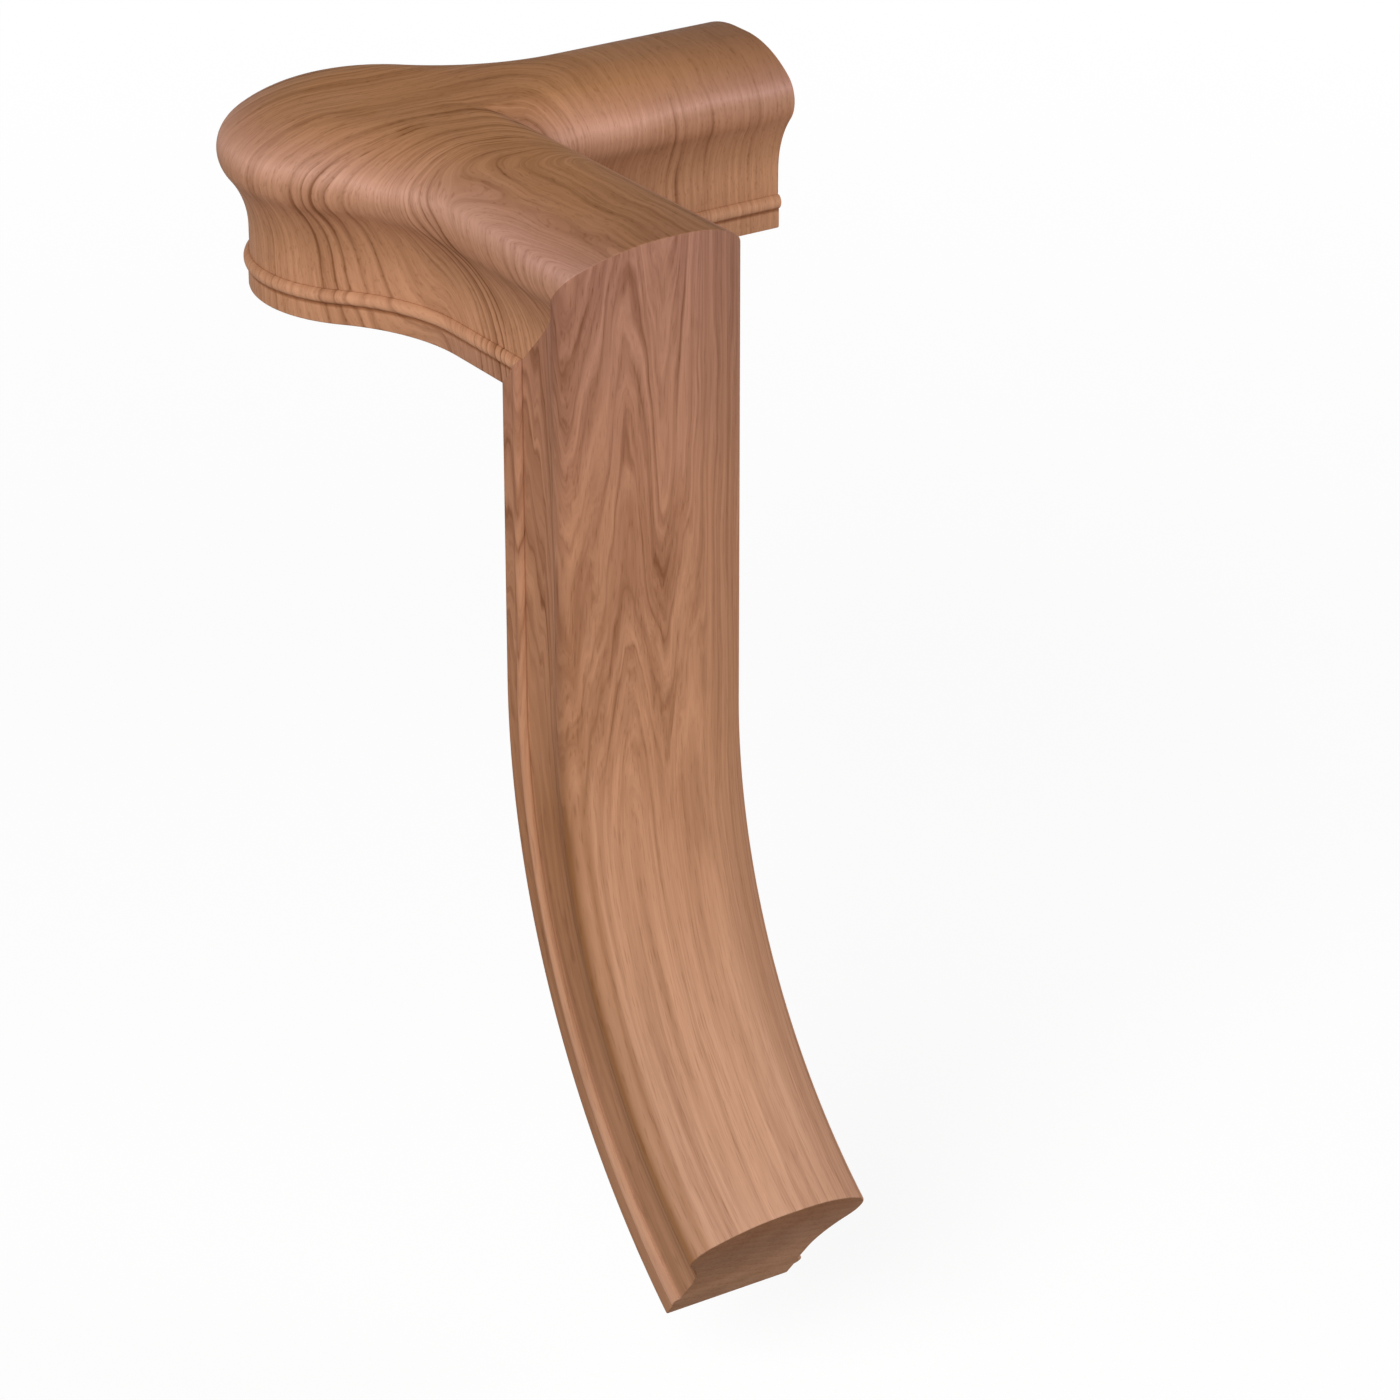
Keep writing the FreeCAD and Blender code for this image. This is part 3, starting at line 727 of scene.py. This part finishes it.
def oak_leg():
    """Red oak, shaped and sanded: pointed flat-sawn figure on the riser, straight streaks on the easing."""
    stretch_along = 0.14
    along_share = 0.012
    aside_share = 0.25
    material, tree = new_material("red oak, leg blank")
    place = add(tree, "Attribute", attribute_name="plank").outputs["Vector"]
    place = add(tree, "VectorMath", {0: place, "Scale": 1 / MM}, operation="SCALE")
    slow = add(tree, "VectorMath", {0: place, 1: (1, 1, stretch_along)}, operation="MULTIPLY")
    x, inward, along = add(tree, "SeparateXYZ", {0: place}).outputs
    rings = leg_rings(tree, slow, x, inward, along)
    figure = add(tree, "MapRange", {0: x}, span=(-2.0, 8.0), into=(0.42, 0.2))
    calm = add(tree, "MapRange", {0: along}, span=(70.0, 140.0), into=(1.0, 0.35))
    vigour = add(tree, "Math", {0: figure, 1: calm}, operation="MULTIPLY")
    softness = add(tree, "MapRange", {0: calm}, into=(0.17, 0.42))
    lengthwise = add(tree, "Math", {0: along, 1: along_share}, operation="MULTIPLY")
    aside = add(tree, "Math", {0: x, 1: aside_share}, operation="MULTIPLY")
    fibre = add(tree, "CombineXYZ", {0: rings, 1: aside, 2: lengthwise})
    # Tones with a painted highlight that pales the lower easing.
    pale = leg_tone_and_light(tree, slow, along)
    colour, rough, bump = oak_surface(tree, fibre, LEG_YEAR, vigour, softness, 1.0, pale)
    # Painted shade along the easing's side and on the crown's right.
    colour = paint_easing_shade(tree, colour, x, inward, along)
    height = add(tree, "Math", {0: RAIL_HEIGHT / MM, 1: inward}, operation="SUBTRACT")
    # The bead's painted highlight is faint on the riser and full down the easing.
    highlight_strength = add(tree, "MapRange", {0: along}, span=(70.0, 130.0), into=(0.1, 1.0))
    colour = paint_bead_light(tree, colour, height, highlight_strength)
    finish_wood(tree, colour, rough, bump)
    return material


def oak_end(name, along, crown):
    """Red oak, sawn across: end grain shows the rings as bands of open pores and looks dark.

    The rings slope along one axis. crown is the height of the crown's edge, and the wood pales below it.
    The pores are dots, drawn about twice as coarse as real ones so that they show.
    """
    slope = 0.35
    drift_size = 30
    drift_reach = 9.0
    dot_size = 1.1
    cloud_size = 8
    cloud_share = 0.5
    material, tree = new_material(name)
    place = add(tree, "TexCoord").outputs["Object"]
    place = add(tree, "VectorMath", {0: place, "Scale": 1 / MM}, operation="SCALE")
    axes = add(tree, "SeparateXYZ", {0: place}).outputs
    drift = add(tree, "TexNoise", {"Vector": place, "Scale": 1 / drift_size, "Detail": 2.0})
    rings = add(tree, "Math", {0: axes[along], 1: slope, 2: axes["Z"]}, operation="MULTIPLY_ADD")
    rings = add(tree, "Math", {0: drift, 1: drift_reach, 2: rings}, operation="MULTIPLY_ADD")
    season = add(tree, "Math", {0: rings, 1: 1 / END_YEAR}, operation="MULTIPLY")
    season = add(tree, "Math", {0: season}, operation="FRACT")
    porous = add(tree, "MapRange", {0: season}, span=(0.0, 0.9), into=(0.14, 0.0))
    dots = add(tree, "TexVoronoi", {"Vector": place, "Scale": 1 / dot_size})
    dots = add(tree, "MapRange", {0: dots}, span=(0.15, 0.45), into=(0.25, 0.0))
    cloud = add(tree, "TexNoise", {"Vector": place, "Scale": 1 / cloud_size, "Detail": 3.0})
    grain = add(tree, "Math", {0: porous, 1: dots}, operation="ADD")
    grain = {0: cloud, 1: cloud_share, 2: grain}
    grain = add(tree, "Math", grain, operation="MULTIPLY_ADD", use_clamp=True)
    level = add(tree, "MapRange", {0: axes["Z"]}, span=((crown - END_FADE) / MM, crown / MM))
    tone = {FACTOR: level, COLOUR_A: linear(END_FOOT), COLOUR_B: linear(END_CROWN)}
    tone = add(tree, "Mix", tone, **BLEND)
    colour = {FACTOR: grain, COLOUR_A: tone, COLOUR_B: linear(END_DARK)}
    colour = add(tree, "Mix", colour, **STAIN)
    rough = add(tree, "MapRange", {0: grain}, into=(0.65, 0.8))
    bump = add(tree, "Bump", {"Height": grain, "Strength": 0.2, "Distance": GRAIN_DEPTH}, invert=True)
    finish_wood(tree, colour, rough, bump)
    return material


def saw_ends(piece, material, belongs):
    """Give the faces of a sawn end their own end grain."""
    piece.data.materials.append(material)
    for face in piece.data.polygons:
        if all(belongs(piece.data.vertices[number].co) for number in face.vertices):
            face.material_index = 1


def seen_directly(tree):
    """1 for a ray that shows the thing or its mirror image, 0 for one that only carries its light."""
    rays = add(tree, "LightPath").outputs
    seen = add(tree, "Math", {0: rays["Is Camera Ray"], 1: rays["Is Glossy Ray"]}, operation="ADD")
    seen = {0: seen, 1: rays["Is Transmission Ray"]}
    return add(tree, "Math", seen, operation="ADD", use_clamp=True)


def set_stage():
    """A plain pale floor below the fitting, seen as white, with a soft shadow near the middle."""
    floor_size = 30.0
    floor_gap = 30 * MM
    bpy.ops.mesh.primitive_plane_add(size=floor_size, location=(0, 0, leg_low.z - floor_gap))
    floor = bpy.context.object
    floor.name = "floor"
    material, tree = new_material("matt white floor")
    seen = seen_directly(tree)
    place = add(tree, "TexCoord").outputs["Object"]
    away = add(tree, "VectorMath", {0: place}, operation="LENGTH").outputs["Value"]
    glow = add(tree, "MapRange", {0: away}, span=(0.4, 1.2), into=(0.9, 1.0))
    glow = add(tree, "Math", {0: seen, 1: glow}, operation="MULTIPLY")
    tint = {FACTOR: seen, COLOUR_A: linear("#a8a8a8"), COLOUR_B: linear("#ffffff")}
    tint = add(tree, "Mix", tint, **BLEND)
    paint = add(tree, "BsdfDiffuse", {"Color": tint})
    white = add(tree, "Emission", {"Color": linear("#ffffff"), "Strength": 1.0})
    mixed = add(tree, "MixShader", {0: glow, 1: paint, 2: white})
    add(tree, "OutputMaterial", {"Surface": mixed})
    floor.data.materials.append(material)


def light_stage():
    """Soft lamps from the front left, low from the right and weakly from behind.

    The room is dim, with a white backdrop that is only seen or mirrored.
    """
    world = bpy.data.worlds.new("white backdrop in a dim room")
    bpy.context.scene.world = world
    world.use_nodes = True
    tree = world.node_tree
    tree.nodes.clear()
    towards = add(tree, "TexCoord").outputs["Generated"]
    up = add(tree, "SeparateXYZ", {0: towards}).outputs["Z"]
    backdrop = add(tree, "MapRange", {0: up}, span=(0.15, 0.3), into=(1.0, 0.0))
    seen = add(tree, "Math", {0: seen_directly(tree), 1: backdrop}, operation="MULTIPLY")
    level = add(tree, "MapRange", {0: seen}, into=(0.05, 1.0))
    room = add(tree, "Background", {"Color": linear("#ffffff"), "Strength": level})
    add(tree, "OutputWorld", {"Surface": room})
    target = (Vector(cad_box[0]) + Vector(cad_box[1])) / 2
    distance = 2.0
    size = 1.1
    # Direction, power in watts, and whether the lamp is mirrored in what it lights.
    lamps = [
        ("left softbox", (-0.734, -0.459, 0.50), 45.0, True),
        ("right softbox", (0.820, -0.533, 0.208), 33.0, True),
        ("back softbox", (0.35, 0.90, 0.15), 14.0, False),
    ]
    for name, direction, power, mirrored in lamps:
        lamp = bpy.data.lights.new(name, "AREA")
        lamp.size = size
        lamp.energy = power
        holder = bpy.data.objects.new(name, lamp)
        holder.visible_glossy = mirrored
        bpy.context.scene.collection.objects.link(holder)
        holder.location = target + Vector(direction).normalized() * distance
        holder.rotation_euler = (target - holder.location).to_track_quat("-Z", "Y").to_euler()


def set_camera():
    """The photograph's view, as fitted to the fitting's corners in its 1400 pixel square."""
    frame_size = 1400
    pixels_per_mm = 3.60999745
    anchor = Vector((0, -109.73, -50.0)) * MM
    anchor_x = 621.553
    anchor_y = 567.463
    distance = 1472.19 * MM
    yaw = math.radians(-33.4204)
    pitch = math.radians(25.1078)
    focal = pixels_per_mm / MM * distance
    right = Vector((math.cos(yaw), math.sin(yaw), 0))
    look = Vector((-math.sin(yaw) * math.cos(pitch), math.cos(yaw) * math.cos(pitch), -math.sin(pitch)))
    up = right.cross(look)
    aside = (anchor_x - frame_size / 2) / focal
    above = (frame_size / 2 - anchor_y) / focal
    camera = bpy.data.cameras.new("camera")
    camera.sensor_width = 36
    camera.lens = focal / frame_size * camera.sensor_width
    holder = bpy.data.objects.new("camera", camera)
    bpy.context.scene.collection.objects.link(holder)
    holder.matrix_world = Matrix((right, up, -look)).transposed().to_4x4()
    holder.location = anchor - distance * (right * aside + up * above + look)
    bpy.context.scene.camera = holder


cap, leg = glue_and_sand(sweep_level_blank(), sweep_leg())
lay_grain(leg)
for piece, name, node, slot, wood in (
    (cap, "oak_cap", "quarter_turn_cap", "cap_blank", oak_cap()),
    (leg, "oak_leg", "drop_leg", "leg_blank", oak_leg()),
):
    piece.name = name
    piece.data.materials.append(wood)
    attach(piece, "root")
    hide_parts(node)
leg_crown = -RISER_DROP - EASING_RADIUS * math.sin(EASING_ANGLE)
saw_ends(cap, oak_end("red oak, sawn cap end", "Y", RAIL_HEIGHT), on_level_end)
saw_ends(leg, oak_end("red oak, sawn leg end", "X", leg_crown), on_leg_end)
set_stage()
light_stage()
set_camera()
bpy.context.scene.view_settings.view_transform = "Standard"
